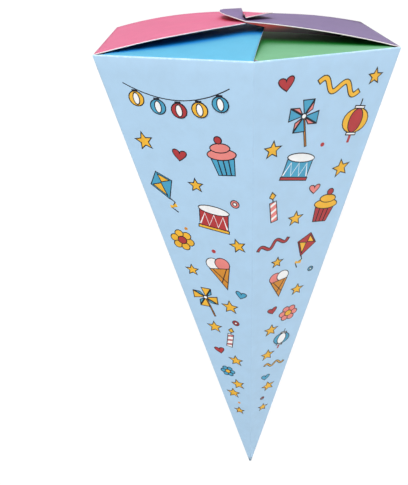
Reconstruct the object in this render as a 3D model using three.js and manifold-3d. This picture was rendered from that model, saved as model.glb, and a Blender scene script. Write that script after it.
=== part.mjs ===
// School cone: one die-cut sheet of printed card, folded into a six-sided cone.
// Six petal flaps close the mouth, and the two side flaps hook together through their slits.
// Millimetres, +Z up. The cone lies on its rear right panel, tip towards -Y and mouth towards +Y.
// The origin is under the middle of the cone, on the surface that it lies on.

import * as THREE from "three";
import { mergeVertices } from "three/addons/utils/BufferGeometryUtils.js";
import Module from "manifold-3d";

// The sheet and its six panels
const SLANT_EDGE = 350; // each long fold, from the tip to the rim
const RIM_SIDE = 82.5; // each rim fold, which is the width of a panel at the mouth
const RIM_TURN_DEG = 25.4; // turn of the front and rear rim folds away from the mouth's width
const CARD = 0.5; // thickness of the card
const PINHOLE = 0.25; // half width of the hollow where the panels are cut off at the tip
const FOLD_STEPS = 4; // facets round the outside of a long fold

// The glue tab, on the inside of the rear left panel
const TAB_WIDTH = 14; // at its mouth end
const TAB_START = 40; // from the tip along the rear fold
const TAB_END_GAP = 6; // from the rim
const TAB_BEVEL = 10; // how much shorter the free edge is at each end
const GLUE_SINK = 0.1; // the tab and the panel share this much, as glued card does

// The outline that all six flaps share: sides that taper to two shoulders, then a pointed hook end
const CORNER_GAP = 0.4; // between a rim corner and the root of a flap
const PETAL_SHOULDER = 18.5; // half width at the shoulders, beside the slit
const HOOK_LENGTH = 15.5; // from the shoulders to the end
const HOOK_END = 1.5; // half width of the blunt end
const ROOT_SINK = 0.2; // how far inside the outer face a flap's root starts

// A lower flap is notched where the flap above it crosses it at a shared corner
const NOTCH_LENGTH = 9; // along the upper flap's edge
const NOTCH_BLEND = 22; // over which the lower flap comes back to its full width
const NOTCH_CLEARANCE = 0.3; // between the two flaps' edges in the notch

// How the flaps rise from their folds
const BROW_SHARE = 0.443; // where the brow stands on the way from the fold to the mouth's middle

// The lock of the two side flaps
const SLIT_WIDTH = 0.8; // kerf of each slit
const SLIT_OVERLAP = 5; // how far each slit runs past the middle of its flap
const LOCK_CLEARANCE = 0.35; // under the flap that passes through the slit
const LOCK_GAPE = 1.3; // over it, where the hook end stands open
const LOCK_SPREAD = 45; // distance from the slit over which the hooked flaps settle back

// Facets of a flap
const BODY_STEPS = 8; // from the notches to the shoulders
const HOOK_STEPS = 3; // from the shoulders to the end
const WIDE_STEPS = 8; // across a flap that is twisted by the lock
const PLAIN_STEPS = 2; // across a flap that only bends

// Flaps by rim side, anticlockwise from the front right. The level is the order in which they close.
// Brow and crown are heights above the fold: the brow sets how steeply a flap starts, and the crown is
// where it passes the mouth's middle. The lift is how far the hook end rises past that, and the belly is
// how much fuller than straight each side of the petal is cut.
const FLAPS = [
  { level: 0, brow: -4.2, crown: -5.6, lift: 0, belly: 0 }, // front right
  { level: 4, brow: 7.6, crown: 10.3, lift: 2.5, belly: 0 }, // right, hooked
  { level: 2, brow: 1.7, crown: 0.2, lift: 0, belly: 0 }, // rear right
  { level: 1, brow: -2.4, crown: -2.2, lift: 0, belly: 0 }, // rear left
  { level: 4, brow: 8.2, crown: 10.3, lift: 0.8, belly: 7 }, // left, hooked
  { level: 3, brow: 2.4, crown: 2.9, lift: 0, belly: 0 }, // front left
];
const LOCK_LEVEL = 4;
const REST_SIDE = 2; // the panel that the cone lies on
const TAB_SIDE = 3; // the panel that carries the tab, next to the rear fold

const PAPER_BLUE = 0xb2d2ec;
const SIDES = FLAPS.length;

const wasm = await Module();
wasm.setup();

// A closed geometry as a solid
function toSolid(geometry) {
  const bare = geometry.clone();
  bare.deleteAttribute("normal");
  bare.deleteAttribute("uv");
  const merged = mergeVertices(bare, 1e-4);
  const mesh = new wasm.Mesh({
    numProp: 3,
    vertProperties: new Float32Array(merged.attributes.position.array),
    triVerts: new Uint32Array(merged.index.array),
  });
  return new wasm.Manifold(mesh);
}

// A solid as a geometry
function toGeometry(solid) {
  const mesh = solid.getMesh();
  const geometry = new THREE.BufferGeometry();
  geometry.setAttribute("position", new THREE.BufferAttribute(mesh.vertProperties, 3));
  geometry.setIndex(new THREE.BufferAttribute(mesh.triVerts, 1));
  geometry.computeVertexNormals();
  return geometry;
}

// In the cone's own frame the tip is the origin, +Z runs up the axis to the mouth and -Y is the front fold.
function rimCorner(x, y) {
  return new THREE.Vector3(x, y, Math.sqrt(SLANT_EDGE ** 2 - x * x - y * y));
}

const rimTurn = THREE.MathUtils.degToRad(RIM_TURN_DEG);
const halfMouth = RIM_SIDE * Math.cos(rimTurn);
const halfSide = RIM_SIDE / 2;
const frontReach = halfSide + RIM_SIDE * Math.sin(rimTurn);
const flapLength = halfMouth + HOOK_LENGTH;
const corners = [
  rimCorner(0, -frontReach),
  rimCorner(halfMouth, -halfSide),
  rimCorner(halfMouth, halfSide),
  rimCorner(0, frontReach),
  rimCorner(-halfMouth, halfSide),
  rimCorner(-halfMouth, -halfSide),
];
const corner = (i) => corners[(i + SIDES) % SIDES];

// Outward normal of the panel between corner i and the next one
function panelNormal(i) {
  return new THREE.Vector3().crossVectors(corner(i + 1), corner(i)).normalize();
}

// From a long fold's outer line to its inner line, one card thickness inside both panels
function foldInset(i) {
  const before = panelNormal(i - 1);
  const after = panelNormal(i);
  const sum = before.clone().add(after);
  return sum.multiplyScalar(-CARD / (1 + before.dot(after)));
}

// The hollow's outline at a share of the way from the tip to the rim
function hollowRing(share) {
  return corners.map((c, i) => c.clone().multiplyScalar(share).add(foldInset(i)));
}

// The outer outline, in which each fold is an arc about its inner line
function outerRing(share) {
  const ring = [];
  hollowRing(share).forEach((inner, i) => {
    for (let k = 0; k <= FOLD_STEPS; k += 1) {
      const out = panelNormal(i - 1).lerp(panelNormal(i), k / FOLD_STEPS).normalize();
      ring.push(out.multiplyScalar(CARD).add(inner));
    }
  });
  return ring;
}

function middle(points) {
  const sum = points.reduce((total, p) => total.add(p), new THREE.Vector3());
  return sum.divideScalar(points.length);
}

// A prism between two rings with as many points each
function ringSolid(lower, upper) {
  const count = lower.length;
  const geometry = new THREE.CylinderGeometry(1, 1, 1, count, 1);
  const position = geometry.attributes.position;
  for (let k = 0; k < position.count; k += 1) {
    const p = new THREE.Vector3().fromBufferAttribute(position, k);
    const ring = p.y > 0 ? upper : lower;
    const onAxis = Math.hypot(p.x, p.z) < 0.5;
    const step = Math.round((Math.atan2(p.x, p.z) / (2 * Math.PI)) * count);
    const target = onAxis ? middle(ring) : ring[(step + count) % count];
    position.setXYZ(k, target.x, target.y, target.z);
  }
  return toSolid(geometry);
}

// The six panels, open at the mouth and at the cut-off tip
function panelsSolid() {
  const narrowest = Math.min(...corners.map((c, i) => foldDistance(i)));
  const slope = Math.cos(Math.asin(narrowest / SLANT_EDGE));
  const tipShare = (CARD / slope + PINHOLE) / narrowest;
  const pastTip = tipShare - PINHOLE / 2 / narrowest;
  const pastRim = 1 + CARD / RIM_SIDE;
  const outside = ringSolid(outerRing(tipShare), outerRing(1));
  const hollow = ringSolid(hollowRing(pastTip), hollowRing(pastRim));
  return outside.subtract(hollow);
}

// The glue tab: it turns in at the rear fold and lies against the inside of the rear left panel
function tabSolid() {
  const along = corner(TAB_SIDE).clone().normalize();
  const inward = panelNormal(TAB_SIDE).negate();
  const across = new THREE.Vector3().crossVectors(inward, along);
  const mouthEnd = SLANT_EDGE - TAB_END_GAP;
  const taper = TAB_WIDTH / mouthEnd;
  const outline = new THREE.Shape([
    new THREE.Vector2(TAB_START, 0),
    new THREE.Vector2(mouthEnd, 0),
    new THREE.Vector2(mouthEnd - TAB_BEVEL, TAB_WIDTH),
    new THREE.Vector2(TAB_START + TAB_BEVEL, (TAB_START + TAB_BEVEL) * taper),
  ]);
  const geometry = new THREE.ExtrudeGeometry(outline, { depth: CARD, bevelEnabled: false });
  geometry.translate(0, 0, CARD - GLUE_SINK);
  geometry.applyMatrix4(new THREE.Matrix4().makeBasis(along, across, inward));
  return toSolid(geometry);
}

// Plan distance from a rim fold to the middle of the mouth
function foldDistance(i) {
  const a = corner(i);
  const b = corner(i + 1);
  return (a.x * b.y - a.y * b.x) / Math.hypot(b.x - a.x, b.y - a.y);
}

// The turn from one rim fold to the next, seen from above
function turnAt(i) {
  const before = corner(i).clone().sub(corner(i - 1));
  const after = corner(i + 1).clone().sub(corner(i));
  return Math.atan2(before.x * after.y - before.y * after.x, before.x * after.x + before.y * after.y);
}

// Half width of a flap at distance u from its fold. All six are cut to the side flaps' length.
function petalHalfWidth(flap, u) {
  if (u > halfMouth) {
    return THREE.MathUtils.mapLinear(u, halfMouth, flapLength, PETAL_SHOULDER, HOOK_END);
  }
  const q = u / halfMouth;
  return THREE.MathUtils.lerp(halfSide - CORNER_GAP, PETAL_SHOULDER, q) + flap.belly * 4 * q * (1 - q);
}

// What a lower flap gives way at a corner, where the edge of the flap above crosses it
function notchDepth(u, turn) {
  const reach = NOTCH_LENGTH * Math.cos(turn);
  const depth = NOTCH_LENGTH * Math.sin(turn);
  if (u < reach) return NOTCH_CLEARANCE + u * Math.tan(turn);
  return (NOTCH_CLEARANCE + depth) * Math.max(0, 1 - (u - reach) / NOTCH_BLEND);
}

// Height of a flap above its fold at distance u: a parabola from the fold, past the brow, to the crown
function bend(flap, u, span) {
  if (flap.level === LOCK_LEVEL && u > span) {
    return flap.crown + (flap.lift * (u - span)) / (flapLength - span);
  }
  const reach = BROW_SHARE * span;
  const t = u / (reach + Math.sqrt(reach ** 2 + (span - 2 * reach) * u));
  return 2 * (1 - t) * t * flap.brow + t * t * flap.crown;
}

// On the side of its slit, the body of a locked flap dips under the other one and its hook end lifts
function lockShift(flap, u, v, span) {
  if (flap.level !== LOCK_LEVEL) return 0;
  const split = THREE.MathUtils.smoothstep(v, -SLIT_OVERLAP, SLIT_OVERLAP);
  const settle = Math.max(0, 1 - Math.abs(u - span) / LOCK_SPREAD);
  const shift = u > span ? CARD + LOCK_GAPE : -CARD - LOCK_CLEARANCE;
  return shift * split * settle;
}

// Distances from the fold at which a flap is sectioned
function stations(flap, turns, span) {
  const marks = [ROOT_SINK];
  turns.forEach((turn) => {
    const reach = NOTCH_LENGTH * Math.cos(turn);
    marks.push(reach / 2, reach, reach + NOTCH_BLEND / 2, reach + NOTCH_BLEND);
  });
  const start = Math.max(...marks);
  for (let k = 1; k < BODY_STEPS; k += 1) {
    marks.push(THREE.MathUtils.lerp(start, halfMouth, k / BODY_STEPS));
  }
  for (let k = 1; k <= HOOK_STEPS; k += 1) {
    marks.push(THREE.MathUtils.lerp(halfMouth, flapLength, k / HOOK_STEPS));
  }
  if (flap.level === LOCK_LEVEL) marks.push(span - SLIT_WIDTH / 4, span + SLIT_WIDTH / 4);
  else marks.push(halfMouth);
  return [...new Set(marks)].sort((a, b) => a - b);
}

// One flap: a slab bent to its height, in a frame with x along the fold, y inwards and z up
function flapSolid(side) {
  const flap = FLAPS[side];
  const before = FLAPS[(side + SIDES - 1) % SIDES];
  const after = FLAPS[(side + 1) % SIDES];
  const turns = [turnAt(side), turnAt(side + 1)];
  const under = [before.level > flap.level, after.level > flap.level];
  const span = foldDistance(side);
  const rows = stations(flap, turns, span);
  const locked = flap.level === LOCK_LEVEL;
  const columns = locked ? WIDE_STEPS : PLAIN_STEPS;

  // The flap reaches from -edge to +edge along the fold, less its notches
  const edgeAt = (u, end) => petalHalfWidth(flap, u) - (under[end] ? notchDepth(u, turns[end]) : 0);

  const geometry = new THREE.BoxGeometry(1, 1, 1, columns, rows.length - 1, 1);
  const position = geometry.attributes.position;
  for (let k = 0; k < position.count; k += 1) {
    const share = position.getX(k) + 0.5;
    const u = rows[Math.round((position.getY(k) + 0.5) * (rows.length - 1))];
    const v = THREE.MathUtils.lerp(-edgeAt(u, 0), edgeAt(u, 1), share);
    const height = bend(flap, u, span);
    const slope = (bend(flap, u + ROOT_SINK, span) - height) / ROOT_SINK;
    const lean = Math.hypot(1, slope);
    const depth = position.getZ(k) > 0 ? 0 : CARD;
    const lift = height + lockShift(flap, u, v, span);
    position.setXYZ(k, v, u + (depth * slope) / lean, lift - depth / lean);
  }

  let solid = toSolid(geometry);
  if (locked) {
    const slit = new THREE.BoxGeometry(RIM_SIDE, SLIT_WIDTH, flapLength);
    slit.translate(RIM_SIDE / 2 - SLIT_OVERLAP, span, 0);
    solid = solid.subtract(toSolid(slit));
  }

  const along = corner(side + 1).clone().sub(corner(side)).normalize();
  const inward = new THREE.Vector3(-along.y, along.x, 0).normalize();
  const up = new THREE.Vector3().crossVectors(along, inward);
  const place = new THREE.Matrix4().makeBasis(along, inward, up);
  place.setPosition(middle([corner(side), corner(side + 1)]));
  return solid.transform(place.elements);
}

function conePiece() {
  const flaps = FLAPS.map((flap, side) => flapSolid(side));
  return flaps.reduce((whole, flap) => whole.add(flap), panelsSolid().add(tabSolid()));
}

const card = new THREE.MeshStandardMaterial({ color: PAPER_BLUE, roughness: 0.6, metalness: 0 });
const carton = new THREE.Mesh(toGeometry(conePiece()), card);
carton.name = "cone_carton";

// Lay the cone down: the resting panel faces down and its middle line runs along +Y
const down = panelNormal(REST_SIDE);
const length = middle([corner(REST_SIDE), corner(REST_SIDE + 1)]).normalize();
const up = down.clone().negate();
const side = new THREE.Vector3().crossVectors(length, up);
const laid = new THREE.Group();
laid.quaternion.setFromRotationMatrix(new THREE.Matrix4().makeBasis(side, length, up).transpose());
laid.add(carton);

const box = new THREE.Box3().setFromObject(laid, true);
const centre = box.getCenter(new THREE.Vector3());
laid.position.set(-centre.x, -centre.y, -box.min.z);

const schoolCone = new THREE.Group();
schoolCone.add(laid);

export default schoolCone;
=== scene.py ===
"""Looks of the school cone: a folded card cone with printed panels and six hooked and tucked flaps.

Every size in the classes is in millimetres, unless its name ends in _m for metres. It is in the cone's own
frame: the tip is the origin, +Z runs up the axis to the mouth and -Y is the front fold. Placement turns a
finished mesh into the row frame, in metres.
"""

import logging
import math
from dataclasses import dataclass, field
from enum import Enum

import bmesh
import bpy
from mathutils import Matrix, Vector

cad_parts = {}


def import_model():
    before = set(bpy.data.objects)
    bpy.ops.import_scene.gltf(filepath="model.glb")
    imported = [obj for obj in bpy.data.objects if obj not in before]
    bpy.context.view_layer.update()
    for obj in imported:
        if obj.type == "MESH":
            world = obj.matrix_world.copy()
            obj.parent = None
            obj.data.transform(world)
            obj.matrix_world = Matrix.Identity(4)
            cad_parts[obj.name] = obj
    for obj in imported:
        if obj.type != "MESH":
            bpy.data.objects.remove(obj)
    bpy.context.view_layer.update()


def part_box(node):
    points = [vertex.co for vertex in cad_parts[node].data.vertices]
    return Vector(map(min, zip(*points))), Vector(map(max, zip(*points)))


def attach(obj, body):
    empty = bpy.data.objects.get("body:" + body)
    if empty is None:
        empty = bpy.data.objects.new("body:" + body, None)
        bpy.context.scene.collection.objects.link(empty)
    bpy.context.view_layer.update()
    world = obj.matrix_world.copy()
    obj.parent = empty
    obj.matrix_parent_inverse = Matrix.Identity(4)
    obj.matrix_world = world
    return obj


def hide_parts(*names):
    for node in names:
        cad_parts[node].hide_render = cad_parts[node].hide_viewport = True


log = logging.getLogger("school_cone")

MM = 0.001
NODE = "cone_carton"
BODY = "root"
PHOTO_WIDTH = 408
PHOTO_HEIGHT = 485


def srgb(code: str) -> tuple[float, float, float, float]:
    """Turn an sRGB hex colour into linear values.

    Args:
        code: the colour as six hex digits after a hash mark.

    Returns:
        Linear red, green, blue and an alpha of 1.
    """
    channels = [int(code[k:k + 2], 16) / 255 for k in (1, 3, 5)]
    linear = [c / 12.92 if c <= 0.04045 else ((c + 0.055) / 1.055) ** 2.4 for c in channels]
    return (linear[0], linear[1], linear[2], 1.0)


def add_node(tree: bpy.types.NodeTree, kind: str, settings: dict | None = None,
             links: dict | None = None) -> bpy.types.Node:
    """Add a shader node with its settings and its incoming links.

    Args:
        tree: the node tree to add to.
        kind: the node's Blender type name.
        settings: attributes or input values, by name or input number.
        links: output sockets to join to this node's inputs, by name or input number.

    Returns:
        The new node.
    """
    node = tree.nodes.new(kind)
    for key, value in (settings or {}).items():
        if isinstance(key, str) and hasattr(node, key):
            setattr(node, key, value)
        else:
            node.inputs[key].default_value = value
    for key, socket in (links or {}).items():
        tree.links.new(socket, node.inputs[key])
    return node


def start_finish(name: str, roughness: float,
                 ior: float) -> tuple[bpy.types.Material, bpy.types.Node, bpy.types.NodeSocket]:
    """Start a finish as a node material.

    Args:
        name: the material's name.
        roughness: of its surface.
        ior: its index of refraction.

    Returns:
        The material, its shader and the Object coordinates that its patterns read.
    """
    made = bpy.data.materials.new(name)
    made.use_nodes = True
    shader = made.node_tree.nodes["Principled BSDF"]
    shader.inputs["Roughness"].default_value = roughness
    shader.inputs["IOR"].default_value = ior
    return made, shader, add_node(made.node_tree, "ShaderNodeTexCoord").outputs["Object"]


def add_object(name: str, data: bpy.types.ID) -> bpy.types.Object:
    """Put a mesh, camera or light in the scene.

    Args:
        name: the object's name.
        data: what the object holds.

    Returns:
        The new object.
    """
    made = bpy.data.objects.new(name, data)
    bpy.context.scene.collection.objects.link(made)
    return made


def shade(code: str, share: float) -> str:
    """Darken an sRGB hex colour.

    Args:
        code: the colour as six hex digits after a hash mark.
        share: how much of each channel to take away.

    Returns:
        The darker colour in the same form.
    """
    return "#" + "".join(f"{round(int(code[k:k + 2], 16) * (1 - share)):02x}" for k in (1, 3, 5))


class Ink(Enum):
    """Printing inks of the decoration, as sRGB hex colours. The outline ink comes first."""

    OUTLINE = "#25232b"
    MUSTARD = "#f2b93f"
    ORANGE = "#d9913a"
    TEAL = "#4fa3c6"
    BRICK = "#b53f41"
    CORAL = "#ea8a84"
    WHITE = "#f6f6f6"

    @property
    def slot(self) -> int:
        """Material slot of this ink on a printed panel."""
        return list(Ink).index(self)


@dataclass(frozen=True)
class CardFinish:
    """Folding boxboard, offset printed and given a thin water-based coat.

    The print is even with faint mottling, and the coat gives a soft satin sheen over fine paper tooth. Where
    a painted shade colour is given, the print is painted darker towards it in gaps, which ambient occlusion
    finds within the reach given in millimetres.
    """

    name: str
    colour: str
    mottling: float = 0.035
    roughness: float = 0.52
    mottle_mm: float = 9.0
    tooth_mm: float = 0.9
    tooth_depth_mm: float = 0.012
    gloss: float = 0.35
    painted_shade_colour: str = ""
    painted_shade_reach_mm: float = 30.0
    ior: float = 1.48

    def material(self) -> bpy.types.Material:
        """Build the finish as a node material.

        Returns:
            The material, read in Object coordinates.
        """
        made, shader, place = start_finish(self.name, self.roughness, self.ior)
        tree = made.node_tree
        shader.inputs["Specular IOR Level"].default_value = self.gloss
        mottle = add_node(tree, "ShaderNodeTexNoise",
                          {"Scale": 1 / (self.mottle_mm * MM), "Detail": 3.0, "Roughness": 0.6},
                          {"Vector": place})
        spread = add_node(tree, "ShaderNodeMapRange",
                          {"From Min": 0.35, "From Max": 0.65}, {"Value": mottle.outputs["Fac"]})
        mixed = add_node(tree, "ShaderNodeMix",
                         {"data_type": "RGBA", 6: srgb(self.colour),
                          7: srgb(shade(self.colour, self.mottling))},
                         {0: spread.outputs["Result"]})
        if self.painted_shade_colour:
            # Painted shade: where ambient occlusion finds a gap between flaps, the print turns to a darker,
            # deeper colour.
            openness = add_node(tree, "ShaderNodeAmbientOcclusion",
                                {"samples": 8, "Distance": self.painted_shade_reach_mm * MM})
            depth = add_node(tree, "ShaderNodeMapRange", {"From Min": 0.3, "From Max": 0.9},
                             {"Value": openness.outputs["AO"]})
            mixed = add_node(tree, "ShaderNodeMix", {"data_type": "RGBA", 6: srgb(self.painted_shade_colour)},
                             {0: depth.outputs["Result"], 7: mixed.outputs[2]})
        tree.links.new(mixed.outputs[2], shader.inputs["Base Color"])
        # Paper tooth is about 0.1 mm across. It is drawn coarser, so that it shows.
        tooth = add_node(tree, "ShaderNodeTexNoise",
                         {"Scale": 1 / (self.tooth_mm * MM), "Detail": 2.0, "Roughness": 0.7},
                         {"Vector": place})
        bump = add_node(tree, "ShaderNodeBump",
                        {"Strength": 0.6, "Distance": self.tooth_depth_mm * MM},
                        {"Height": tooth.outputs["Fac"]})
        tree.links.new(bump.outputs["Normal"], shader.inputs["Normal"])
        return made


@dataclass(frozen=True)
class CreaseFinish:
    """Creased boxboard, where the print is stretched thin over the fold and breaks to show white board."""

    name: str
    colour: str
    board: str = "#f4f6f8"
    crack_mm: float = 2.4
    roughness: float = 0.62
    ior: float = 1.48

    def material(self) -> bpy.types.Material:
        """Build the finish as a node material.

        Returns:
            The material, read in Object coordinates.
        """
        made, shader, place = start_finish(self.name, self.roughness, self.ior)
        tree = made.node_tree
        cracks = add_node(tree, "ShaderNodeTexNoise",
                          {"Scale": 1 / (self.crack_mm * MM), "Detail": 4.0, "Roughness": 0.75},
                          {"Vector": place})
        worn = add_node(tree, "ShaderNodeMapRange",
                        {"From Min": 0.42, "From Max": 0.7}, {"Value": cracks.outputs["Fac"]})
        mixed = add_node(tree, "ShaderNodeMix",
                         {"data_type": "RGBA", 6: srgb(self.colour), 7: srgb(self.board)},
                         {0: worn.outputs["Result"]})
        tree.links.new(mixed.outputs[2], shader.inputs["Base Color"])
        return made


@dataclass(frozen=True)
class BoardFinish:
    """Bare boxboard, as on the inside and on the cut edges: matt, with pressed fibres."""

    name: str
    colour: str
    fleck: str
    fleck_mm: float = 1.2
    fibre_depth_mm: float = 0.02
    roughness: float = 0.85
    ior: float = 1.45

    def material(self) -> bpy.types.Material:
        """Build the finish as a node material.

        Returns:
            The material, read in Object coordinates.
        """
        made, shader, place = start_finish(self.name, self.roughness, self.ior)
        tree = made.node_tree
        fibres = add_node(tree, "ShaderNodeTexNoise",
                          {"Scale": 1 / (self.fleck_mm * MM), "Detail": 5.0, "Distortion": 1.5},
                          {"Vector": place})
        mixed = add_node(tree, "ShaderNodeMix",
                         {"data_type": "RGBA", 6: srgb(self.colour), 7: srgb(self.fleck)},
                         {0: fibres.outputs["Fac"]})
        tree.links.new(mixed.outputs[2], shader.inputs["Base Color"])
        bump = add_node(tree, "ShaderNodeBump", {"Strength": 0.5, "Distance": self.fibre_depth_mm * MM},
                        {"Height": fibres.outputs["Fac"]})
        tree.links.new(bump.outputs["Normal"], shader.inputs["Normal"])
        return made


@dataclass(frozen=True)
class FlapCut:
    """What sets one flap apart from the others.

    Each cut has a painted shade colour, the darker colour that the print is painted in narrow gaps, and the
    level is the order of closing. Brow and crown are heights above the fold, near it and in the middle of
    the mouth. The lift is the rise of the hook end, the belly is how full the sides are cut, and the trim is
    how much shorter than the others the hook is.
    """

    piece: str
    colour: str
    painted_shade_colour: str
    level: int
    brow: float
    crown: float
    lift: float = 0.0
    belly: float = 0.0
    trim: float = 0.0


@dataclass
class Sheet:
    """Sizes of the die-cut sheet and the shape that it folds into.

    The sag is how far a panel gives way in its middle. A wave varies it by wave_share, with wave_along
    radians from the tip to the rim and wave_shift radians from one panel to the next.
    """

    slant_edge: float = 350.0
    rim_side: float = 82.5
    rim_turn_deg: float = 25.4
    card: float = 0.5
    fold_radius: float = 0.55
    pinhole: float = 0.25
    sag: float = 0.25
    wave_share: float = 0.25
    wave_along: float = 9.0
    wave_shift: float = 2.1
    rest_side: int = 2
    lock_level: int = 4
    half_side: float = field(init=False)
    half_mouth: float = field(init=False)
    front_reach: float = field(init=False)
    corners: list[Vector] = field(init=False)

    def __post_init__(self) -> None:
        """Work out the six rim corners, anticlockwise from the front one."""
        turn = math.radians(self.rim_turn_deg)
        self.half_side = self.rim_side / 2
        self.half_mouth = self.rim_side * math.cos(turn)
        self.front_reach = self.half_side + self.rim_side * math.sin(turn)
        plan = [
            (0.0, -self.front_reach), (self.half_mouth, -self.half_side),
            (self.half_mouth, self.half_side), (0.0, self.front_reach),
            (-self.half_mouth, self.half_side), (-self.half_mouth, -self.half_side),
        ]
        self.corners = [Vector((x, y, math.sqrt(self.slant_edge ** 2 - x * x - y * y))) for x, y in plan]

    def corner(self, i: int) -> Vector:
        """Rim corner i, counted round and round."""
        return self.corners[i % len(self.corners)]

    def normal(self, i: int) -> Vector:
        """Outward normal of the panel between corner i and the next one."""
        return self.corner(i + 1).cross(self.corner(i)).normalized()

    def middle(self, i: int) -> Vector:
        """Middle of rim fold i."""
        return (self.corner(i) + self.corner(i + 1)) / 2

    def span(self, i: int) -> float:
        """Plan distance from rim fold i to the middle of the mouth."""
        a, b = self.corner(i).xy, self.corner(i + 1).xy
        return (a.x * b.y - a.y * b.x) / (b - a).length

    def turn(self, i: int) -> float:
        """Turn from one rim fold to the next, seen from above.

        Args:
            i: the rim corner between them.

        Returns:
            The angle in radians, anticlockwise.
        """
        before = (self.corner(i) - self.corner(i - 1)).xy
        after = (self.corner(i + 1) - self.corner(i)).xy
        return math.atan2(before.x * after.y - before.y * after.x, before.dot(after))

    def fold_inset(self, i: int) -> Vector:
        """From long fold i's outer line to the centre line of its rounding."""
        before, after = self.normal(i - 1), self.normal(i)
        return (before + after) * (-self.fold_radius / (1 + before.dot(after)))

    def rim_share(self, i: int) -> float:
        """Share of the long fold at which the rounding of the rim fold starts at corner i."""
        return 1 - (self.fold_radius + self.fold_inset(i).z) / self.corner(i).z

    def tip_share(self) -> float:
        """Find where the panels are cut off at the tip.

        Returns:
            The place, as a share of the long folds.
        """
        narrowest = min(self.span(i) for i in range(len(self.corners)))
        slope = math.cos(math.asin(narrowest / self.slant_edge))
        return (self.card / slope + self.pinhole) / narrowest

    def give(self, side: int, share: float, reach: float) -> Vector:
        """How far a panel gives way inwards from its flat shape, as handled card does.

        Args:
            side: the panel. The one that the cone lies on stays flat.
            share: of the way across the panel.
            reach: share of the way from the tip to the rim.

        Returns:
            The shift from the flat panel.
        """
        if side == self.rest_side:
            return Vector((0, 0, 0))
        share = min(1.0, max(0.0, share))
        swing = math.sin(self.wave_along * reach + self.wave_shift * side)
        wave = 1 - self.wave_share + self.wave_share * swing
        depth = self.sag * math.sin(math.pi * share) ** 2 * math.sin(math.pi * min(1.0, reach)) * wave
        return self.normal(side) * -depth

    def row_rotation(self) -> Matrix:
        """Lay the cone on its resting panel, tip towards -Y.

        Returns:
            The rotation from the cone's own frame to the row frame.
        """
        up = -self.normal(self.rest_side)
        length = self.middle(self.rest_side).normalized()
        side = length.cross(up)
        return Matrix((side, length, up))


@dataclass
class Placement:
    """Takes meshes from the cone's own frame, in millimetres, to the row frame, in metres."""

    rotation: Matrix
    shift: Vector = field(default_factory=lambda: Vector((0, 0, 0)))

    def matrix(self) -> Matrix:
        """The whole transform, with the change of unit."""
        scaled = (self.rotation * MM).to_4x4()
        return Matrix.Translation(self.shift) @ scaled

    def settle(self, mesh: bmesh.types.BMesh) -> None:
        """Find the shift that puts the panels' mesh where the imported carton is.

        Args:
            mesh: the panels in the cone's own frame.
        """
        low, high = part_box(NODE)
        points = [self.rotation @ (v.co * MM) for v in mesh.verts]
        centre_x = (min(p.x for p in points) + max(p.x for p in points)) / 2
        self.shift = Vector(((low[0] + high[0]) / 2 - centre_x, low[1] - min(p.y for p in points), 0))


def finish_piece(name: str, mesh: bmesh.types.BMesh, placement: Placement,
                 materials: list[bpy.types.Material], smooth: bool = True) -> bpy.types.Object:
    """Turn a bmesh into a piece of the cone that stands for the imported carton.

    Args:
        name: the piece's name.
        mesh: its mesh in the cone's own frame, which is freed.
        placement: the way to the row frame.
        materials: its material slots in order.
        smooth: whether its faces are shaded smooth.

    Returns:
        The new object.
    """
    bmesh.ops.transform(mesh, matrix=placement.matrix(), verts=mesh.verts)
    for face in mesh.faces:
        face.smooth = smooth
    data = bpy.data.meshes.new(name)
    mesh.to_mesh(data)
    mesh.free()
    for material in materials:
        data.materials.append(material)
    piece = add_object(name, data)
    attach(piece, BODY)
    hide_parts(NODE)
    log.info("%s: %d faces", name, len(data.polygons))
    return piece


def give_thickness(piece: bpy.types.Object, thickness: float) -> None:
    """Give a sheet piece its card thickness, with board inside and cut edges round it.

    Args:
        piece: the sheet, whose slots are print, board and cut edge, once or several times over.
        thickness: of the card, in millimetres, inwards from the printed face.
    """
    wall = piece.modifiers.new("card", "SOLIDIFY")
    wall.thickness = thickness * MM
    wall.offset = -1.0
    wall.use_even_offset = True
    wall.use_quality_normals = True
    wall.material_offset = 1
    wall.material_offset_rim = 2


class PanelSlot(Enum):
    """First of the three slots, for print, board and cut edge, that each part of the panels takes."""

    PANEL = 0
    RIM_CREASE = 3
    LONG_FOLD = 6


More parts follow.
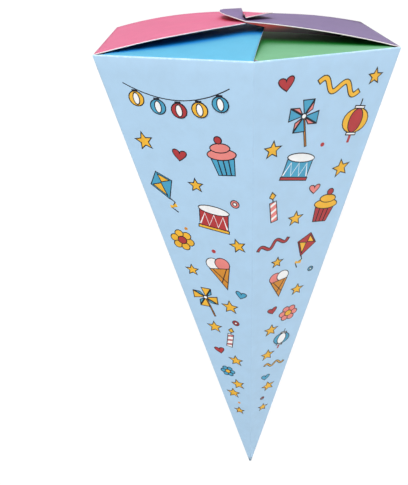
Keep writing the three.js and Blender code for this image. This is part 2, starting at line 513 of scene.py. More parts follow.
@dataclass
class Panels:
    """The six long panels with their rounded folds, up to the start of the flaps."""

    sheet: Sheet
    fold_steps: int = 6
    shares: tuple[float, ...] = (0, 0.01, 0.025, 0.05, 0.1, 0.2, 0.35, 0.5, 0.65, 0.8, 0.9, 0.95, 0.975,
                                 0.99)
    length_steps: int = 48
    rim_steps: int = 6

    def loop(self) -> list[tuple[int, float, Vector, bool]]:
        """Section points round the cone.

        Returns:
            For each point the side, the share of the way along that side, the outward direction there and
            whether the span after it lies on a fold.
        """
        points = []
        for side in range(len(self.sheet.corners)):
            before, after = self.sheet.normal(side - 1), self.sheet.normal(side)
            for k in range(self.fold_steps):
                points.append((side, 0.0, before.lerp(after, k / self.fold_steps).normalized(), True))
            for share in self.shares:
                points.append((side, share, after, False))
        points.append(points[0])
        return points

    def centre(self, side: int, share: float, along: float) -> Vector:
        """Centre line of the rounding, at a share of the way up the cone and along a side.

        Args:
            side: the panel.
            share: 0 at the panel's first fold, 1 at the next.
            along: 0 at the cut tip, 1 where the rim's rounding starts.

        Returns:
            The point.
        """
        sheet = self.sheet
        ends = []
        for i in (side, side + 1):
            reach = sheet.tip_share() + (sheet.rim_share(i) - sheet.tip_share()) * along
            ends.append(sheet.corner(i) * reach + sheet.fold_inset(i))
        point = ends[0].lerp(ends[1], share)
        return point + sheet.give(side, share, along)

    def mesh(self) -> bmesh.types.BMesh:
        """Build the panels as one sheet.

        Returns:
            The mesh, with the material indices of PanelSlot.
        """
        loop = self.loop()
        rows = self.length_steps + self.rim_steps
        made = bmesh.new()
        # The grid is one unit square, so a point's own place in it gives its column and its row.
        bmesh.ops.create_grid(made, x_segments=len(loop) - 1, y_segments=rows, size=0.5)
        made.verts.ensure_lookup_table()
        for face in made.faces:
            centre = face.calc_center_median()
            column = int((centre.x + 0.5) * (len(loop) - 1))
            row = int((centre.y + 0.5) * rows)
            if row >= self.length_steps:
                face.material_index = PanelSlot.RIM_CREASE.value
            elif loop[column][3]:
                face.material_index = PanelSlot.LONG_FOLD.value
        axis = Vector((0, 0, 1))
        for vert in made.verts:
            side, share, out, _ = loop[round((vert.co.x + 0.5) * (len(loop) - 1))]
            row = round((vert.co.y + 0.5) * rows)
            along = min(1.0, row / self.length_steps)
            roll = max(0, row - self.length_steps) / self.rim_steps
            facing = out.slerp(axis, roll)
            vert.co = self.centre(side, share, along) + facing * self.sheet.fold_radius
        bmesh.ops.remove_doubles(made, verts=made.verts, dist=1e-5)
        bmesh.ops.recalc_face_normals(made, faces=made.faces)
        return made


@dataclass
class GlueTab:
    """The tab that turns in at the rear fold and is glued inside the rear left panel.

    The fold gap is the room that the tab's bend takes beside the fold, and the glue room is how much thinner
    the tab is drawn, so that it stays clear of the panel.
    """

    sheet: Sheet
    side: int = 3
    width: float = 14.0
    start: float = 40.0
    end_gap: float = 6.0
    bevel: float = 10.0
    fold_gap: float = 0.6
    glue_room: float = 0.05
    columns: int = 24
    rows: int = 4

    def mesh(self) -> bmesh.types.BMesh:
        """Build the tab's inner face as a sheet, one card thickness inside the panel.

        Returns:
            The mesh in the cone's own frame.
        """
        stop = self.sheet.slant_edge - self.end_gap
        along = self.sheet.corner(self.side).normalized()
        inward = -self.sheet.normal(self.side)
        across = inward.cross(along)
        made = bmesh.new()
        bmesh.ops.create_grid(made, x_segments=self.columns, y_segments=self.rows, size=0.5)
        for vert in made.verts:
            share, width = vert.co.x + 0.5, vert.co.y + 0.5
            low = self.start + self.bevel * width
            high = stop - self.bevel * width
            place = low + (high - low) * share
            reach = width * self.width * place / stop + self.fold_gap
            up = place / self.sheet.slant_edge
            lean = self.sheet.give(self.side, reach / (self.sheet.rim_side * up), up)
            vert.co = along * place + across * reach + inward * (2 * self.sheet.card) + lean
        made.normal_update()
        for face in made.faces:
            if face.normal.dot(inward) < 0:
                face.normal_flip()
        return made


@dataclass
class Flap:
    """One petal flap: tapering sides, two shoulders and a hook end, bent up or down from its fold."""

    sheet: Sheet
    cuts: list[FlapCut]
    side: int
    corner_gap: float = 0.4
    shoulder: float = 18.5
    hook_length: float = 15.5
    hook_end: float = 1.5
    notch_length: float = 4.5
    notch_blend: float = 14.0
    notch_clearance: float = 0.3
    brow_share: float = 0.443
    slit_width: float = 0.3
    slit_overlap: float = 5.0
    lock_clearance: float = 0.35
    lock_gape: float = 1.3
    lock_spread: float = 45.0
    dent: float = 1.2
    dent_reach: float = 7.0
    columns: int = 36
    body_rows: int = 36
    hook_rows: int = 10
    cut: FlapCut = field(init=False)
    turns: tuple[float, float] = field(init=False)
    under: tuple[bool, bool] = field(init=False)
    span: float = field(init=False)
    length: float = field(init=False)
    locked: bool = field(init=False)
    root: float = field(init=False)

    def __post_init__(self) -> None:
        """Work out what the flap shares with its neighbours."""
        self.cut = self.cuts[self.side]
        count = len(self.cuts)
        self.turns = (self.sheet.turn(self.side), self.sheet.turn(self.side + 1))
        self.under = (self.cuts[self.side - 1].level > self.cut.level,
                      self.cuts[(self.side + 1) % count].level > self.cut.level)
        self.span = self.sheet.span(self.side)
        self.length = self.sheet.half_mouth + self.hook_length - self.cut.trim
        self.locked = self.cut.level == self.sheet.lock_level
        inset = self.sheet.fold_inset(self.side)
        rim = self.sheet.corner(self.side) * (self.sheet.rim_share(self.side) - 1) + inset
        self.root = rim.dot(self.inward())

    def along(self) -> Vector:
        """Direction along the rim fold, anticlockwise."""
        return (self.sheet.corner(self.side + 1) - self.sheet.corner(self.side)).normalized()

    def inward(self) -> Vector:
        """Level direction from the rim fold into the mouth."""
        along = self.along()
        return Vector((-along.y, along.x, 0)).normalized()

    def half_width(self, u: float) -> float:
        """Half width of the petal, before its notches.

        Args:
            u: distance from the fold.

        Returns:
            The half width.
        """
        mouth = self.sheet.half_mouth
        if u > mouth:
            q = (u - mouth) / (self.length - mouth)
            return self.shoulder + (self.hook_end - self.shoulder) * q
        q = u / mouth
        root = self.sheet.half_side - self.corner_gap
        return root + (self.shoulder - root) * q + self.cut.belly * 4 * q * (1 - q)

    def edge(self, u: float, end: int) -> float:
        """Half width on one side, less the notch where the next flap lies over this one.

        Args:
            u: distance from the fold.
            end: 0 for the side at the flap's first corner, 1 for the other.

        Returns:
            The half width on that side.
        """
        full = self.half_width(u)
        if not self.under[end]:
            return full
        turn = self.turns[end]
        reach = self.notch_length * math.cos(turn)
        depth = self.notch_length * math.sin(turn)
        if u < reach:
            return full - self.notch_clearance - u * math.tan(turn)
        rest = max(0.0, 1 - (u - reach) / self.notch_blend)
        return full - (self.notch_clearance + depth) * rest

    def bend(self, u: float) -> float:
        """Height above the fold: a parabola past the brow to the crown, then the hook's lift.

        Args:
            u: distance from the fold.

        Returns:
            The height.
        """
        if self.locked and u > self.span:
            return self.cut.crown + self.cut.lift * (u - self.span) / (self.length - self.span)
        reach = self.brow_share * self.span
        t = u / (reach + math.sqrt(reach ** 2 + (self.span - 2 * reach) * u))
        return 2 * (1 - t) * t * self.cut.brow + t * t * self.cut.crown

    def lock_shift(self, u: float, v: float) -> float:
        """Dip of a locked flap's body, or lift of its hook end, on the side of its slit.

        Args:
            u: distance from the fold.
            v: place along the fold, from the flap's middle.

        Returns:
            The rise, below 0 for a dip.
        """
        if not self.locked:
            return 0.0
        q = min(1.0, max(0.0, (v + self.slit_overlap) / (2 * self.slit_overlap)))
        split = q * q * (3 - 2 * q)
        settle = max(0.0, 1 - abs(u - self.span) / self.lock_spread)
        card = self.sheet.card
        shift = card + self.lock_gape if u > self.span else -card - self.lock_clearance
        if u > self.span:
            return shift * split * settle
        away = ((u - self.span) ** 2 + (v - self.slit_overlap / 2) ** 2) / self.dent_reach ** 2
        return shift * split * settle - self.dent * math.exp(-away)

    def rows(self) -> list[float]:
        """Place the flap's rows of points.

        Returns:
            Their distances from the fold, in order.
        """
        mouth = self.sheet.half_mouth
        marks = {self.root}
        for k in range(1, self.body_rows + 1):
            marks.add(self.root + (mouth - self.root) * k / self.body_rows)
        for k in range(1, self.hook_rows + 1):
            marks.add(mouth + (self.length - mouth) * k / self.hook_rows)
        for end, turn in enumerate(self.turns):
            if self.under[end]:
                marks.add(self.notch_length * math.cos(turn))
        if self.locked:
            marks = {u for u in marks if abs(u - self.span) > self.slit_width}
            marks |= {self.span - self.slit_width / 2, self.span + self.slit_width / 2}
        return sorted(marks)

    def mesh(self) -> bmesh.types.BMesh:
        """Build the flap's printed face as a sheet, with its slit cut.

        Returns:
            The mesh in the cone's own frame.
        """
        rows = self.rows()
        made = bmesh.new()
        bmesh.ops.create_grid(made, x_segments=self.columns, y_segments=len(rows) - 1, size=0.5)
        flat = {}
        for vert in made.verts:
            u = rows[round((vert.co.y + 0.5) * (len(rows) - 1))]
            share = vert.co.x + 0.5
            v = -self.edge(u, 0) * (1 - share) + self.edge(u, 1) * share
            flat[vert] = (u, v)
            vert.co = Vector((v, u, self.bend(u) + self.lock_shift(u, v)))
        if self.locked:
            slit = [f for f in made.faces if self.in_slit([flat[v] for v in f.verts])]
            bmesh.ops.delete(made, geom=slit, context="FACES")
        basis = Matrix((self.along(), self.inward(), self.along().cross(self.inward()))).transposed()
        place = Matrix.Translation(self.sheet.middle(self.side)) @ basis.to_4x4()
        bmesh.ops.transform(made, matrix=place, verts=made.verts)
        for face in made.faces:
            if face.normal.z < 0:
                face.normal_flip()
        made.normal_update()
        return made

    def in_slit(self, points: list[tuple[float, float]]) -> bool:
        """Whether a face lies in the slit's narrow band, on its cut side.

        Args:
            points: distance from the fold and place along it, for each corner of the face.

        Returns:
            True where the face is cut away.
        """
        u = sum(p[0] for p in points) / len(points)
        v = sum(p[1] for p in points) / len(points)
        return abs(u - self.span) < self.slit_width / 2 and v > -self.slit_overlap


# The third value of each cut is its painted shade colour, a darker tone of its print for the gaps.
CUTS = [
    FlapCut("flap_green", "#77b68a", "#0f7a28", 2, -0.8, -1.4, belly=10.0),
    FlapCut("flap_purple", "#837299", "#3a1440", 4, 7.6, 10.3, lift=2.2, trim=3.0),
    # The red flap's deep red is partly its own colour and partly painted shade for the hollow under the
    # purple flap.
    FlapCut("flap_red", "#8e2a24", "#160302", 1, -1.4, -4.8, belly=9.0),
    FlapCut("flap_yellow", "#e9c04a", "#8a6410", 0, -7.5, -11.5),
    FlapCut("flap_pink", "#d97092", "#c8103c", 4, 8.2, 10.3, lift=0.8, belly=7.0),
    FlapCut("flap_blue", "#61b5d8", "#1a86d8", 3, 2.4, 2.9, trim=2.0),
]


@dataclass
class Pen:
    """Draws filled shapes with a dark outline as thin films of ink on a flat panel.

    Motifs are drawn about their own middle, in millimetres, with +y towards the mouth. Move sets where the
    next one goes.
    """

    mesh: bmesh.types.BMesh
    line: float = 0.55
    film: float = 0.03
    step: float = 0.02
    layer: int = 0
    place: Matrix = field(default_factory=Matrix)

    def move(self, x: float, y: float, angle: float = 0.0, size: float = 1.0) -> None:
        """Set the place of the next motif.

        Args:
            x: place across the panel.
            y: distance from the tip.
            angle: turn in degrees.
            size: share of the motif's own size.
        """
        turn = Matrix.Rotation(math.radians(angle), 4, "Z")
        self.place = Matrix.Translation((x, y, 0)) @ turn @ Matrix.Scale(size, 4)
        self.layer = 0

    def fill(self, points: list[tuple[float, float]], ink: Ink, outlined: bool = True) -> None:
        """Lay one closed film of ink.

        Args:
            points: the outline in order, at least three points.
            ink: the colour inside the outline.
            outlined: whether a dark line runs round it.
        """
        made = bmesh.ops.create_circle(self.mesh, cap_ends=True, radius=1, segments=len(points))
        ring = made["verts"]
        for vert, (x, y) in zip(ring, points):
            vert.co = self.place @ Vector((x, y, 0))
            vert.co.z = 0
        base = ring[0].link_faces[0]
        raised = bmesh.ops.extrude_face_region(self.mesh, geom=[base])["geom"]
        top = [g for g in raised if isinstance(g, bmesh.types.BMFace)][0]
        self.layer += 1
        height = self.film + self.step * self.layer
        for vert in top.verts:
            vert.co.z = height
        body = {base, *(f for e in top.edges for f in e.link_faces)}
        for face in body:
            face.material_index = (Ink.OUTLINE if outlined else ink).slot
        top.material_index = ink.slot
        if outlined:
            rim = bmesh.ops.inset_individual(self.mesh, faces=[top], thickness=self.line,
                                             use_even_offset=True)
            for face in rim["faces"]:
                face.material_index = Ink.OUTLINE.slot
            top.material_index = ink.slot

    def stroke(self, points: list[tuple[float, float]], width: float, ink: Ink,
               outlined: bool = False) -> None:
        """Lay a line of even width along points.

        Args:
            points: the middle line.
            width: of the line in millimetres, before the motif's size is applied.
            ink: the colour.
            outlined: whether a dark line runs round it.
        """
        left, right = [], []
        for k, (x, y) in enumerate(points):
            before, after = points[max(0, k - 1)], points[min(len(points) - 1, k + 1)]
            across = Vector((before[1] - after[1], after[0] - before[0])).normalized() * (width / 2)
            left.append((x + across.x, y + across.y))
            right.append((x - across.x, y - across.y))
        self.fill(left + right[::-1], ink, outlined)

    def disc(self, x: float, y: float, radius: float, ink: Ink, outlined: bool = True,
             tall: float = 1.0) -> None:
        """Lay a round or oval film.

        Args:
            x: its middle.
            y: its middle.
            radius: half of its width.
            ink: the colour.
            outlined: whether a dark line runs round it.
            tall: its height as a share of its width.
        """
        turns = [2 * math.pi * k / 20 for k in range(20)]
        self.fill([(x + radius * math.cos(t), y + radius * tall * math.sin(t)) for t in turns],
                  ink, outlined)

    def star(self, ink: Ink) -> None:
        """Five-pointed star, 11 mm across."""
        points = [(radius, math.pi * k / 5) for k, radius in enumerate((5.6, 2.5) * 5)]
        self.fill([(radius * math.sin(turn), radius * math.cos(turn)) for radius, turn in points], ink)

    def heart(self, ink: Ink) -> None:
        """Heart, 10 mm across."""
        turns = [2 * math.pi * k / 24 for k in range(24)]
        self.fill([(5 * math.sin(t) ** 3,
                    4.1 * math.cos(t) - 1.6 * math.cos(2 * t) - 0.6 * math.cos(3 * t))
                   for t in turns], ink)

    def kite(self, ink: Ink, other: Ink) -> None:
        """Kite with a cross and a tail with bows, 22 mm long.

        Args:
            ink: colour of the kite.
            other: colour of its quarters and bows.
        """
        self.stroke([(0, -5), (1.6, -7.5), (-1.0, -10), (0.8, -12.5)], 0.6, Ink.OUTLINE)
        self.fill([(0, 8), (5.5, 2.5), (0, -6), (-5.5, 2.5)], ink)
        self.fill([(0, 7), (0, 2.5), (4.7, 2.5)], other)
        self.fill([(0, -4.6), (0, 2.5), (-4.7, 2.5)], other)
        self.fill([(-1.4, -8.4), (1.8, -9.8), (1.6, -8.0), (-1.6, -9.9)], other, False)

    def flower(self, ink: Ink, middle: Ink) -> None:
        """Flower head with six round petals, 13 mm across.

        Args:
            ink: colour of the petals.
            middle: colour of the middle.
        """
        for k in range(6):
            turn = math.pi * k / 3
            self.disc(4.1 * math.cos(turn), 4.1 * math.sin(turn), 2.5, ink)
        self.disc(0, 0, 2.6, middle)

    def cupcake(self, ink: Ink, cup: Ink) -> None:
        """Cupcake in a pleated cup with a cherry, 16 mm tall.

        Args:
            ink: colour of the icing.
            cup: colour of the cup.
        """
        self.fill([(-5, -0.5), (5, -0.5), (3.6, -8), (-3.6, -8)], cup)
        for x in (-1.9, 0.0, 1.9):
            self.stroke([(x * 1.2, -1), (x, -7.6)], 0.5, Ink.OUTLINE)
        self.disc(0, 1.2, 6.2, ink, tall=0.42)
        self.disc(0, 3.9, 4.3, ink, tall=0.5)
        self.disc(0, 7.2, 1.7, Ink.BRICK)

    def ice_cream(self, ink: Ink, other: Ink) -> None:
        """Two scoops in a wafer cone, 20 mm tall.

        Args:
            ink: colour of the left scoop.
            other: colour of the right scoop.
        """
        self.disc(-2.2, 4.0, 3.7, ink)
        self.disc(2.2, 4.0, 3.7, other)
        self.fill([(-5.2, 1.6), (5.2, 1.6), (0, -11.5)], Ink.ORANGE)
        self.stroke([(-3.4, 1.2), (1.5, -7)], 0.45, Ink.OUTLINE)
        self.stroke([(3.4, 1.2), (-1.5, -7)], 0.45, Ink.OUTLINE)

    def lantern(self, ink: Ink, band: Ink) -> None:
        """Round paper lantern with bands and a tassel, 17 mm tall.

        Args:
            ink: colour of the paper.
            band: colour of the middle band.
        """
        self.stroke([(0, 8.5), (0, 5)], 0.5, Ink.OUTLINE)
        self.stroke([(0, -5), (0, -9)], 1.1, Ink.BRICK)
        self.disc(0, 0, 6, ink, tall=0.86)
        self.disc(0, 0, 3.2, band, tall=1.55)
        self.fill([(-2.4, 4.6), (2.4, 4.6), (2.4, 6.0), (-2.4, 6.0)], Ink.WHITE)
        self.fill([(-2.4, -6.0), (2.4, -6.0), (2.4, -4.6), (-2.4, -4.6)], Ink.WHITE)

    def drum(self, ink: Ink, rim: Ink) -> None:
        """Toy drum with lacing, 14 mm across.

        Args:
            ink: colour of the shell.
            rim: colour of the lower rim.
        """
        self.fill([(-6.5, -5), (6.5, -5), (6.5, 4), (-6.5, 4)], ink)
        zigzag = [(-6.0, -4), (-4, 2), (-2, -4), (0, 2), (2, -4), (4, 2), (6.0, -4)]
        self.stroke(zigzag, 0.6, Ink.WHITE)
        self.fill([(-7, -6.2), (7, -6.2), (7, -4.4), (-7, -4.4)], rim)
        self.disc(0, 4.4, 7, Ink.WHITE, tall=0.32)

    def candle(self, ink: Ink, stripe: Ink) -> None:
        """Striped candle with a flame, 17 mm tall.

        Args:
            ink: colour of the candle.
            stripe: colour of the stripes.
        """
        self.fill([(-1.9, -8), (1.9, -8), (1.9, 3.5), (-1.9, 3.5)], ink)
        for y in (-5.5, -1.8, 1.9):
            self.fill([(-1.4, y - 1.3), (1.4, y), (1.4, y + 1.3), (-1.4, y)], stripe, False)
        self.stroke([(0, 3.5), (0, 5.2)], 0.5, Ink.OUTLINE)
        self.fill([(0, 9.2), (1.8, 6.4), (0, 4.6), (-1.8, 6.4)], Ink.MUSTARD)

    def pinwheel(self, ink: Ink, other: Ink) -> None:
        """Pinwheel with four sails on a stick, 22 mm tall.

        Args:
            ink: colour of the sails.
            other: colour of their folds.
        """
        self.stroke([(0, 0), (0, -14)], 1.2, Ink.ORANGE, True)
        for k in range(4):
            turn = Matrix.Rotation(math.pi * k / 2, 2)
            sail = [turn @ Vector(p) for p in ((0, 0), (0, 7), (5.5, 5.5))]
            self.fill([(p.x, p.y) for p in sail], ink)
            fold = [turn @ Vector(p) for p in ((0, 0), (5.5, 5.5), (4.2, 1.4))]
            self.fill([(p.x, p.y) for p in fold], other)
        self.disc(0, 0, 1.3, Ink.WHITE)

    def ribbon(self, ink: Ink) -> None:
        """Wavy paper ribbon, 22 mm long."""
        wave = [(22 * (k / 32 - 0.5), 2.4 * math.sin(4 * math.pi * k / 32)) for k in range(33)]
        self.stroke(wave, 2.6, ink, True)

    def ring(self, ink: Ink) -> None:
        """Small ring, 6 mm across."""
        self.disc(0, 0, 3, ink)
        self.disc(0, 0, 1.5, Ink.WHITE)

    def dot(self, ink: Ink) -> None:
        """Plain confetti dot, 3 mm across."""
        self.disc(0, 0, 1.5, ink, False)

    def lights(self) -> None:
        """Sagging string of five small paper lanterns, 56 mm wide."""
        def hang(share: float) -> tuple[float, float]:
            """Point of the string, at a share of its width from its middle."""
            return 56 * share, 30 * share ** 2 - 4

        self.stroke([hang(k / 16 - 0.5) for k in range(17)], 0.5, Ink.OUTLINE)
        inks = (Ink.MUSTARD, Ink.TEAL, Ink.BRICK, Ink.MUSTARD, Ink.TEAL)
        for k, ink in enumerate(inks):
            x, y = hang((k - 2) / 5)
            self.disc(x, y - 5.2, 4.4, ink, tall=0.95)
            self.disc(x, y - 5.2, 2.0, Ink.WHITE, tall=1.7)
            self.fill([(x - 1.6, y - 1.6), (x + 1.6, y - 1.6), (x + 1.6, y - 0.5), (x - 1.6, y - 0.5)],
                      Ink.ORANGE)


class Motif(Enum):
    """Motifs of the print, by the name of the pen's method that draws each."""

    CANDLE = "candle"
    CUPCAKE = "cupcake"
    DOT = "dot"
    DRUM = "drum"
    FLOWER = "flower"
    HEART = "heart"
    ICE_CREAM = "ice_cream"
    KITE = "kite"
    LANTERN = "lantern"
    LIGHTS = "lights"
    PINWHEEL = "pinwheel"
    RIBBON = "ribbon"
    RING = "ring"
    STAR = "star"


# Each motif: distance from the tip, place across the panel, turn in degrees, size, motif and inks.
DESIGN_A = [
    (331, 0, 0, 1, Motif.LIGHTS),
    (303, -24, 8, 1.06, Motif.STAR, Ink.MUSTARD),
    (298, 19, 6, 1.34, Motif.CUPCAKE, Ink.CORAL, Ink.TEAL),
    (297, -5, -10, 0.85, Motif.HEART, Ink.BRICK),
    (279, 1, 0, 0.9, Motif.STAR, Ink.MUSTARD),
    (275, -19, 16, 1.34, Motif.KITE, Ink.TEAL, Ink.MUSTARD),
    (270, 22, 0, 0.9, Motif.RING, Ink.CORAL),
    (258, 8, -8, 1.34, Motif.DRUM, Ink.BRICK, Ink.MUSTARD),
    (248, -11, 0, 0.7, Motif.DOT, Ink.ORANGE),
    (241, 20, 12, 1.01, Motif.STAR, Ink.MUSTARD),
    (239, -15, -14, 1.16, Motif.FLOWER, Ink.MUSTARD, Ink.BRICK),
    (234, 4, 0, 0.9, Motif.DOT, Ink.BRICK),
    (219, 6, 10, 1.34, Motif.ICE_CREAM, Ink.WHITE, Ink.CORAL),
    (216, -13, 0, 0.9, Motif.STAR, Ink.MUSTARD),
    (202, 17, -12, 0.75, Motif.HEART, Ink.TEAL),
    (194, -8, 14, 1.22, Motif.PINWHEEL, Ink.MUSTARD, Ink.TEAL),
    (189, 8, 0, 1.12, Motif.STAR, Ink.MUSTARD),
    (175, 10, 0, 0.84, Motif.RING, Ink.BRICK),
    (167, -6, 0, 1.05, Motif.STAR, Ink.MUSTARD),
    (159, 4, -12, 1.19, Motif.CANDLE, Ink.WHITE, Ink.BRICK),
    (144, -6, 10, 0.78, Motif.HEART, Ink.BRICK),
    (136, 5, 0, 1.05, Motif.STAR, Ink.MUSTARD),
    (122, -3, 0, 0.84, Motif.FLOWER, Ink.TEAL, Ink.MUSTARD),
    (109, 3, 12, 1.05, Motif.STAR, Ink.MUSTARD),
    (97, -2, 0, 1.05, Motif.STAR, Ink.MUSTARD),
    (86, 1, 0, 0.72, Motif.DOT, Ink.ORANGE),
    (76, 0, 0, 0.85, Motif.STAR, Ink.MUSTARD),
]
DESIGN_B = [
    (336, -23, 10, 0.9, Motif.HEART, Ink.BRICK),
    (331, 8, -14, 1.22, Motif.RIBBON, Ink.MUSTARD),
    (334, 29, 0, 0.9, Motif.STAR, Ink.MUSTARD),
    (318, -10, 14, 1.28, Motif.PINWHEEL, Ink.TEAL, Ink.CORAL),
    (311, 23, -8, 1.4, Motif.LANTERN, Ink.MUSTARD, Ink.BRICK),
    (302, -25, 0, 1.01, Motif.STAR, Ink.MUSTARD),
    (300, 5, 0, 0.8, Motif.DOT, Ink.BRICK),
    (289, -8, -12, 1.28, Motif.DRUM, Ink.TEAL, Ink.BRICK),
    (283, 21, 10, 1.12, Motif.STAR, Ink.MUSTARD),
    (273, 6, 0, 0.75, Motif.HEART, Ink.CORAL),
    (266, -19, 12, 1.22, Motif.CANDLE, Ink.CORAL, Ink.WHITE),
    (259, 16, -10, 1.34, Motif.CUPCAKE, Ink.MUSTARD, Ink.BRICK),
    (255, -3, 0, 1.01, Motif.STAR, Ink.MUSTARD),
    (240, -15, 16, 0.92, Motif.RIBBON, Ink.BRICK),
    (232, 8, -14, 1.28, Motif.KITE, Ink.BRICK, Ink.MUSTARD),
    (225, -10, 0, 0.84, Motif.STAR, Ink.MUSTARD),
    (212, 16, 0, 0.7, Motif.RING, Ink.TEAL),
    (208, -6, 8, 1.16, Motif.ICE_CREAM, Ink.CORAL, Ink.WHITE),
    (197, 9, 0, 0.95, Motif.STAR, Ink.MUSTARD),
    (184, -7, 12, 0.72, Motif.HEART, Ink.BRICK),
    (177, 6, 0, 1.06, Motif.FLOWER, Ink.CORAL, Ink.MUSTARD),
    (165, -5, 0, 1.05, Motif.STAR, Ink.MUSTARD),
    (153, 5, -10, 1.06, Motif.LANTERN, Ink.TEAL, Ink.WHITE),
    (140, -4, 0, 1.05, Motif.STAR, Ink.MUSTARD),
    (128, 3, 0, 0.72, Motif.RIBBON, Ink.MUSTARD),
    (115, -2, 0, 0.72, Motif.HEART, Ink.TEAL),
    (103, 2, 14, 1.05, Motif.STAR, Ink.MUSTARD),
    (90, -1, 0, 0.6, Motif.RING, Ink.BRICK),
    (78, 1, 0, 0.85, Motif.STAR, Ink.MUSTARD),
]


@dataclass
class Decoration:
    """Printed motifs on one panel."""

    sheet: Sheet
    side: int
    design: list[tuple]
    rest_thinning: float = 8.0

    def mesh(self) -> bmesh.types.BMesh:
        """Draw the design flat and lay it on the panel.

        Returns:
            The mesh in the cone's own frame, with one material slot for each ink.
        """
        made = bmesh.new()
        pen = Pen(made)
        if self.side == self.sheet.rest_side:
            # The cone lies on these films, so their layers are much thinner.
            pen.step /= self.rest_thinning
        for along, across, angle, size, motif, *inks in self.design:
            pen.move(across, along, angle, size)
            getattr(pen, motif.value)(*inks)
        bmesh.ops.recalc_face_normals(made, faces=made.faces)
        out = self.sheet.normal(self.side)
        along = self.sheet.middle(self.side).normalized()
        basis = Matrix((along.cross(out), along, out)).transposed()
        length = self.sheet.middle(self.side).length
        gives = []
        for vert in made.verts:
            reach = vert.co.y / length
            share = 0.5 + vert.co.x / (self.sheet.rim_side * reach)
            gives.append(self.sheet.give(self.side, share, reach))
        bmesh.ops.transform(made, matrix=basis.to_4x4(), verts=made.verts)
        for vert, give in zip(made.verts, gives):
            vert.co += give
        return made


@dataclass(frozen=True)
class Lamp:
    """One soft square lamp that faces the cone.

    The azimuth is its direction round the cone's axis, from the front fold towards the right, and the
    height is its direction above the plane of the mouth. The power is in watts.
    """

    name: str
    azimuth_deg: float
    height_deg: float
    size_m: float
    power: float


LAMPS = [
    Lamp("top_light", azimuth_deg=-2, height_deg=46, size_m=2.6, power=206.0),
    Lamp("front_light", azimuth_deg=-5, height_deg=-10, size_m=1.5, power=52.0),
    Lamp("left_side", azimuth_deg=-80, height_deg=22, size_m=1.5, power=44.0),
    Lamp("right_side", azimuth_deg=78, height_deg=22, size_m=1.5, power=40.0),
]


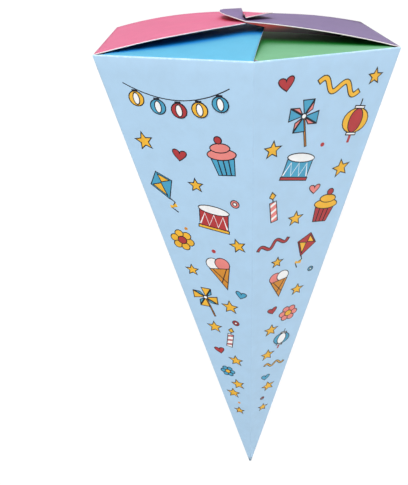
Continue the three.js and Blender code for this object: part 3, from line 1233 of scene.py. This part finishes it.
@dataclass
class Studio:
    """Pale floor, soft light and the camera at the photograph's viewing angle."""

    sheet: Sheet
    placement: Placement
    yaw_deg: float = 3.1785
    pitch_deg: float = 29.3387
    roll_deg: float = 0.8628
    camera_distance: float = 372.58
    aim_height: float = 209.68
    focal_pixels: float = 568.8
    centre_pixel_x: float = 246.955
    centre_pixel_y: float = 244.5
    floor_gap: float = 0.25
    floor_size_m: float = 3.0
    fade_start_m: float = 0.2
    fade_end_m: float = 0.5
    ambient: float = 0.06
    lamp_distance_m: float = 4.0

    def camera(self) -> None:
        """Place the camera as it stood over the cone."""
        pitch, yaw, roll = (math.radians(a) for a in (self.pitch_deg, self.yaw_deg, self.roll_deg))
        unyaw = Matrix.Rotation(-yaw, 3, "Z")
        back = unyaw @ Vector((0, -math.cos(pitch), math.sin(pitch)))
        right = unyaw @ Vector((1, 0, 0))
        up = back.cross(right)
        across = right * math.cos(roll) - up * math.sin(roll)
        upright = right * math.sin(roll) + up * math.cos(roll)
        eye = back * self.camera_distance + Vector((0, 0, self.aim_height))
        turn = self.placement.rotation @ Matrix((across, upright, back)).transposed()
        data = bpy.data.cameras.new("camera")
        data.lens = self.focal_pixels / PHOTO_HEIGHT * data.sensor_width
        data.shift_x = (PHOTO_WIDTH / 2 - self.centre_pixel_x) / PHOTO_HEIGHT
        data.shift_y = (self.centre_pixel_y - PHOTO_HEIGHT / 2) / PHOTO_HEIGHT
        data.clip_start = 0.01
        camera = add_object("camera", data)
        camera.matrix_world = Matrix.Translation(self.placement.matrix() @ eye) @ turn.to_4x4()
        bpy.context.scene.camera = camera

    def floor(self) -> None:
        """Lay a large floor that looks white and still takes the cone's shadow."""
        made = bmesh.new()
        bmesh.ops.create_grid(made, x_segments=1, y_segments=1, size=self.floor_size_m)
        bmesh.ops.translate(made, verts=made.verts, vec=(0, 0, -self.floor_gap * MM))
        data = bpy.data.meshes.new("floor")
        made.to_mesh(data)
        made.free()
        add_object("floor", data)
        paint = bpy.data.materials.new("white_paper_sweep")
        paint.use_nodes = True
        tree = paint.node_tree
        tree.nodes.clear()
        path = add_node(tree, "ShaderNodeLightPath")
        diffuse = add_node(tree, "ShaderNodeBsdfDiffuse", {"Color": srgb("#c4c4c4")})
        glow = add_node(tree, "ShaderNodeEmission", {"Color": (1, 1, 1, 1), "Strength": 1.08})
        place = add_node(tree, "ShaderNodeTexCoord").outputs["Object"]
        distance = add_node(tree, "ShaderNodeVectorMath", {"operation": "LENGTH"}, {0: place})
        # The shadow fades into plain white with the distance from the middle of the cone.
        fade = add_node(tree, "ShaderNodeMapRange",
                        {"interpolation_type": "SMOOTHSTEP", "From Min": self.fade_start_m,
                         "From Max": self.fade_end_m, "To Min": 0.86, "To Max": 1.0},
                        {"Value": distance.outputs["Value"]})
        share = add_node(tree, "ShaderNodeMath", {"operation": "MULTIPLY"},
                         {0: path.outputs["Is Camera Ray"], 1: fade.outputs["Result"]})
        both = add_node(tree, "ShaderNodeMixShader", {},
                        {0: share.outputs[0], 1: diffuse.outputs[0], 2: glow.outputs[0]})
        add_node(tree, "ShaderNodeOutputMaterial", {}, {"Surface": both.outputs[0]})
        data.materials.append(paint)

    def sky(self) -> None:
        """Light the scene evenly all round, and show white behind everything."""
        world = bpy.data.worlds.new("studio")
        world.use_nodes = True
        tree = world.node_tree
        tree.nodes.clear()
        path = add_node(tree, "ShaderNodeLightPath")
        seen = add_node(tree, "ShaderNodeMath", {"operation": "MAXIMUM"},
                        {0: path.outputs["Is Camera Ray"], 1: path.outputs["Is Transmission Ray"]})
        around = add_node(tree, "ShaderNodeBackground", {"Color": (1, 1, 1, 1), "Strength": self.ambient})
        white = add_node(tree, "ShaderNodeBackground", {"Color": (1, 1, 1, 1), "Strength": 1.0})
        both = add_node(tree, "ShaderNodeMixShader", {},
                        {0: seen.outputs[0], 1: around.outputs[0], 2: white.outputs[0]})
        add_node(tree, "ShaderNodeOutputWorld", {}, {"Surface": both.outputs[0]})
        bpy.context.scene.world = world

    def hang(self, spec: Lamp) -> None:
        """Hang one lamp.

        Args:
            spec: the lamp.
        """
        azimuth, height = math.radians(spec.azimuth_deg), math.radians(spec.height_deg)
        level = Vector((math.sin(azimuth), -math.cos(azimuth), 0)) * math.cos(height)
        towards = self.placement.rotation @ (level + Vector((0, 0, math.sin(height))))
        target = self.placement.matrix() @ Vector((0, 0, 0.5 * self.sheet.slant_edge))
        data = bpy.data.lights.new(spec.name, "AREA")
        data.size = spec.size_m
        data.energy = spec.power
        lamp = add_object(spec.name, data)
        lamp.location = target + towards * self.lamp_distance_m
        lamp.rotation_euler = towards.to_track_quat("Z", "Y").to_euler()

    def build(self) -> None:
        """Set up the whole studio."""
        self.camera()
        self.floor()
        self.sky()
        for spec in LAMPS:
            self.hang(spec)
        bpy.context.scene.view_settings.view_transform = "Standard"


def main() -> None:
    """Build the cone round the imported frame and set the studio."""
    logging.basicConfig(level=logging.INFO, format="%(name)s: %(message)s")
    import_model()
    sheet = Sheet()
    placement = Placement(sheet.row_rotation())

    # Grey board for the inside and undersides: partly the board's own grey, partly painted shade for the
    # dark inside of the cone.
    board = BoardFinish("grey_boxboard_with_painted_shade", "#a29c94", "#8c867e").material()
    cut = BoardFinish("white_boxboard_cut_edge", "#e2dbdb", "#d3c8c9").material()
    print_blue = CardFinish("offset_print_pale_blue", "#afcfe9", mottling=0.02).material()
    rim_crease = CreaseFinish("creased_print_rim", "#a4c9e3", board="#c4dced").material()
    long_fold = CreaseFinish("creased_print_long_fold", "#a8c7e2", board="#b3cfe7").material()
    inks = [CardFinish("ink_" + ink.name.lower(), ink.value, 0.05, 0.45).material() for ink in Ink]

    panel_mesh = Panels(sheet).mesh()
    placement.settle(panel_mesh)
    panels = finish_piece("cone_panels", panel_mesh, placement,
                          [print_blue, board, cut, rim_crease, board, cut, long_fold, board, cut])
    give_thickness(panels, sheet.card)
    glue_tab = GlueTab(sheet)
    tab = finish_piece("glue_tab", glue_tab.mesh(), placement, [board, board, cut])
    give_thickness(tab, sheet.card - glue_tab.glue_room)
    for side, spec in enumerate(CUTS):
        # Each flap's finish paints shade into its print in the gaps between the flaps.
        finish = CardFinish("offset_print_" + spec.piece, spec.colour, mottling=0.02, gloss=0.08,
                            painted_shade_colour=spec.painted_shade_colour)
        ink = finish.material()
        flap = finish_piece(spec.piece, Flap(sheet, CUTS, side).mesh(), placement, [ink, board, cut])
        give_thickness(flap, sheet.card)
        decoration = Decoration(sheet, side, DESIGN_B if side % 2 == 0 else DESIGN_A)
        finish_piece(f"print_{side}", decoration.mesh(), placement, inks, smooth=False)

    Studio(sheet, placement).build()


if __name__ == "__main__":
    main()
